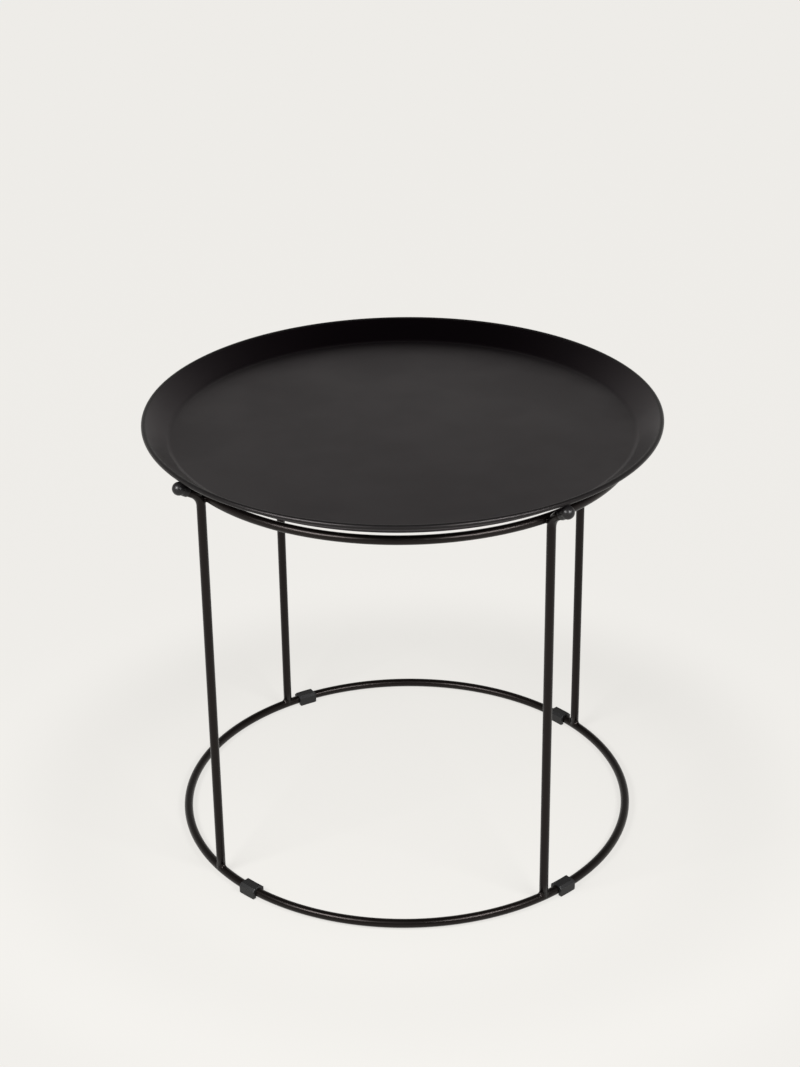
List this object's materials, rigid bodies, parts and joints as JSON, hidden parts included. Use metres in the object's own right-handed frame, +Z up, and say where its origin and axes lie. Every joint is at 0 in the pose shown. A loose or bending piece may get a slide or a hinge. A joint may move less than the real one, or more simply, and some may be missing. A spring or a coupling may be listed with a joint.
{
  "type": "tray table",
  "caption": "Low round tray table: a dished lift-off metal tray on a welded wire frame with ring base, upright wire legs and plastic glides.",
  "frame": {"origin": "on the floor, under the centre of the tray and of both rings", "axes": "+Z up; the table faces -Y, with the legs at 45 degrees to X and Y"},
  "size_m": [0.4603, 0.4604, 0.4061],
  "materials": {
    "tray_powder_coat": "satin black powder coat",
    "wire_powder_coat": "satin black powder coat over wire and welds",
    "cap_plastic": "moulded black plastic",
    "glide_plastic": "fine-textured moulded black plastic"
  },
  "bodies": {
    "frame": {"top_ring": "wire_powder_coat", "bottom_ring": "wire_powder_coat", "leg_front_left": "wire_powder_coat", "leg_front_right": "wire_powder_coat", "leg_back_left": "wire_powder_coat", "leg_back_right": "wire_powder_coat", "foot_weld_front_left": "wire_powder_coat", "foot_weld_front_right": "wire_powder_coat", "foot_weld_back_left": "wire_powder_coat", "foot_weld_back_right": "wire_powder_coat", "ring_weld_front_left": "wire_powder_coat", "ring_weld_front_right": "wire_powder_coat", "ring_weld_back_left": "wire_powder_coat", "ring_weld_back_right": "wire_powder_coat", "tip_cap_front_left": "cap_plastic", "tip_cap_front_right": "cap_plastic", "tip_cap_back_left": "cap_plastic", "tip_cap_back_right": "cap_plastic"},
    "tray": {"tray": "tray_powder_coat"},
    "glide_front_left": {"glide_front_left": "glide_plastic"},
    "glide_front_right": {"glide_front_right": "glide_plastic"},
    "glide_back_left": {"glide_back_left": "glide_plastic"},
    "glide_back_right": {"glide_back_right": "glide_plastic"}
  },
  "joints": [
    {"name": "tray_lift", "type": "slide", "parent": "frame", "child": "tray", "axis": [0, 0, 1], "range_m": [0, 0.3]},
    {"name": "glide_front_left_slide_round", "type": "hinge", "parent": "frame", "child": "glide_front_left", "pos_m": [0, 0, 0.0055], "axis": [0, 0, 1], "range_deg": [-7.6, 73.4]},
    {"name": "glide_front_right_slide_round", "type": "hinge", "parent": "frame", "child": "glide_front_right", "pos_m": [0, 0, 0.0055], "axis": [0, 0, 1], "range_deg": [-2, 79]},
    {"name": "glide_back_left_slide_round", "type": "hinge", "parent": "frame", "child": "glide_back_left", "pos_m": [0, 0, 0.0055], "axis": [0, 0, 1], "range_deg": [-36.5, 1.3]},
    {"name": "glide_back_right_slide_round", "type": "hinge", "parent": "frame", "child": "glide_back_right", "pos_m": [0, 0, 0.0055], "axis": [0, 0, 1], "range_deg": [-1.6, 36.2]}
  ]
}
